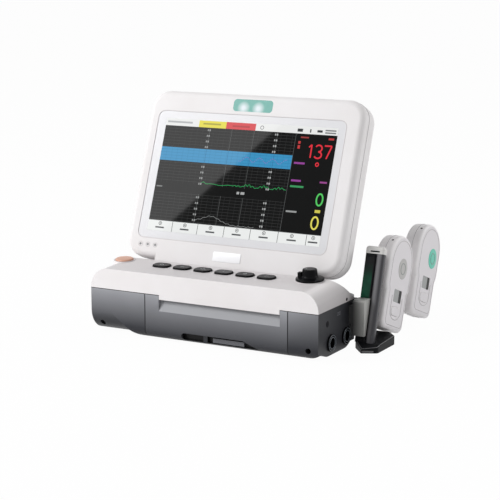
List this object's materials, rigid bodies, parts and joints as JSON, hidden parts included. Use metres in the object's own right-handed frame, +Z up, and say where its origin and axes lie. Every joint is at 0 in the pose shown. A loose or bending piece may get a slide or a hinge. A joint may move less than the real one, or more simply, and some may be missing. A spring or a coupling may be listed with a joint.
{
  "type": "fetal monitor",
  "caption": "Desk fetal monitor with a tilting display head, keyed deck, paper recorder drawer and a side dock holding lift-off wireless probes.",
  "frame": {"origin": "on the table plane, at the middle foot, 167.5 mm behind the front edge on the middle line", "axes": "+X to the user's right, +Y to the back, +Z up"},
  "size_m": [0.385, 0.3174, 0.3135],
  "materials": {
    "white_case": "satin",
    "grey_case": "satin",
    "drawer_grey": "satin",
    "black_gloss": "gloss",
    "black_matte": "matte",
    "dock_light": "satin",
    "dock_sheen": "satin",
    "dock_green": "gloss",
    "probe_case": "satin",
    "probe_window": "gloss",
    "orange_key": "satin",
    "screen": "polished",
    "lamp_lens": "gloss",
    "led_lens": "gloss",
    "rubber": "matte",
    "steel": "brushed",
    "brass": "satin",
    "circuit_board": "satin",
    "paper": "matte",
    "gear_plastic": "satin"
  },
  "bodies": {
    "base": {"lower_shell": "grey_case", "upper_shell": "white_case", "rear_cover": "grey_case", "mains_inlet": "black_matte", "ground_stud": "brass", "rubber_feet": "rubber", "case_screws": "steel", "main_board": "circuit_board", "power_supply": "steel", "battery_pack": "black_matte", "battery_door": "grey_case", "speaker": "black_matte", "key_board": "circuit_board", "power_switch": "black_matte", "knob_encoder": "steel", "probe_sockets": "black_gloss", "hinge_brackets": "steel", "recorder_frame": "steel", "print_head": "steel", "feed_motor": "steel", "drawer_runners": "black_matte", "dock_tray": "black_matte", "dock_block": "dock_light", "dock_column": "black_matte", "dock_post": "dock_sheen", "dock_window": "dock_green", "dock_cap": "dock_light", "dock_rail": "black_matte"},
    "head": {"lid_bezel": "white_case", "lid_back": "white_case", "screen_glass": "screen", "lcd_panel": "steel", "alarm_lamp": "lamp_lens", "status_leds": "led_lens", "hinge_arms": "steel"},
    "drawer": {"drawer_front": "drawer_grey", "drawer_tray": "drawer_grey", "paper_pack": "paper"},
    "latch": {"drawer_latch": "drawer_grey"},
    "platen": {"platen_roller": "rubber", "platen_gear": "gear_plastic"},
    "pinion": {"motor_pinion": "brass"},
    "power_key": {"power_button": "orange_key"},
    "knob": {"control_knob": "black_gloss"},
    "deck_key_1": {"key_1": "black_gloss"},
    "deck_key_2": {"key_2": "black_gloss"},
    "deck_key_3": {"key_3": "black_gloss"},
    "deck_key_4": {"key_4": "black_gloss"},
    "deck_key_5": {"key_5": "black_gloss"},
    "deck_key_6": {"key_6": "black_gloss"},
    "near_probe": {"near_probe_back": "probe_case", "near_probe_front": "probe_case", "near_probe_window": "probe_window", "near_probe_core": "circuit_board"},
    "near_probe_push": {"near_probe_key": "probe_case"},
    "far_probe": {"far_probe_back": "probe_case", "far_probe_front": "probe_case", "far_probe_window": "probe_window", "far_probe_core": "circuit_board"},
    "far_probe_push": {"far_probe_key": "probe_case"}
  },
  "joints": [
    {"name": "lid_tilt", "type": "hinge", "parent": "base", "child": "head", "pos_m": [0, -0.0795, 0.0675], "axis": [1, 0, 0], "range_deg": [-69.5, 2]},
    {"name": "drawer_slide", "type": "slide", "parent": "base", "child": "drawer", "axis": [0, -1, 0], "range_m": [0, 0.1]},
    {"name": "latch_lift", "type": "slide", "parent": "drawer", "child": "latch", "axis": [0, 0, 1], "range_m": [0, 0.0025], "stiffness_N_per_m": 300},
    {"name": "platen_spin", "type": "hinge", "parent": "base", "child": "platen", "pos_m": [0.02, -0.1475, 0.064], "axis": [1, 0, 0], "continuous": true},
    {"name": "pinion_spin", "type": "hinge", "parent": "base", "child": "pinion", "pos_m": [0.13, -0.1395, 0.05014], "axis": [1, 0, 0], "continuous": true},
    {"name": "power_press", "type": "slide", "parent": "base", "child": "power_key", "axis": [0, 0.0523, -0.9986], "range_m": [0, 0.0012], "stiffness_N_per_m": 500},
    {"name": "knob_turn", "type": "hinge", "parent": "base", "child": "knob", "pos_m": [0.131, -0.11357, 0.09213], "axis": [0, -0.0523, 0.9986], "continuous": true},
    {"name": "key_1_press", "type": "slide", "parent": "base", "child": "deck_key_1", "axis": [0, 0.0523, -0.9986], "range_m": [0, 0.0012], "stiffness_N_per_m": 500},
    {"name": "key_2_press", "type": "slide", "parent": "base", "child": "deck_key_2", "axis": [0, 0.0523, -0.9986], "range_m": [0, 0.0012], "stiffness_N_per_m": 500},
    {"name": "key_3_press", "type": "slide", "parent": "base", "child": "deck_key_3", "axis": [0, 0.0523, -0.9986], "range_m": [0, 0.0012], "stiffness_N_per_m": 500},
    {"name": "key_4_press", "type": "slide", "parent": "base", "child": "deck_key_4", "axis": [0, 0.0523, -0.9986], "range_m": [0, 0.0012], "stiffness_N_per_m": 500},
    {"name": "key_5_press", "type": "slide", "parent": "base", "child": "deck_key_5", "axis": [0, 0.0523, -0.9986], "range_m": [0, 0.0012], "stiffness_N_per_m": 500},
    {"name": "key_6_press", "type": "slide", "parent": "base", "child": "deck_key_6", "axis": [0, 0.0523, -0.9986], "range_m": [0, 0.0012], "stiffness_N_per_m": 500},
    {"name": "near_probe_lift", "type": "slide", "parent": "base", "child": "near_probe", "axis": [0, 0.342, 0.9397], "range_m": [0, 0.14]},
    {"name": "near_probe_press", "type": "slide", "parent": "near_probe", "child": "near_probe_push", "axis": [-1, 0, 0], "range_m": [0, 0.001], "stiffness_N_per_m": 500},
    {"name": "far_probe_lift", "type": "slide", "parent": "base", "child": "far_probe", "axis": [0, 0.342, 0.9397], "range_m": [0, 0.14]},
    {"name": "far_probe_press", "type": "slide", "parent": "far_probe", "child": "far_probe_push", "axis": [-1, 0, 0], "range_m": [0, 0.001], "stiffness_N_per_m": 500}
  ],
  "couplings": [
    {"joint": "pinion_spin", "follows": "platen_spin", "ratio": -2.3333}
  ]
}
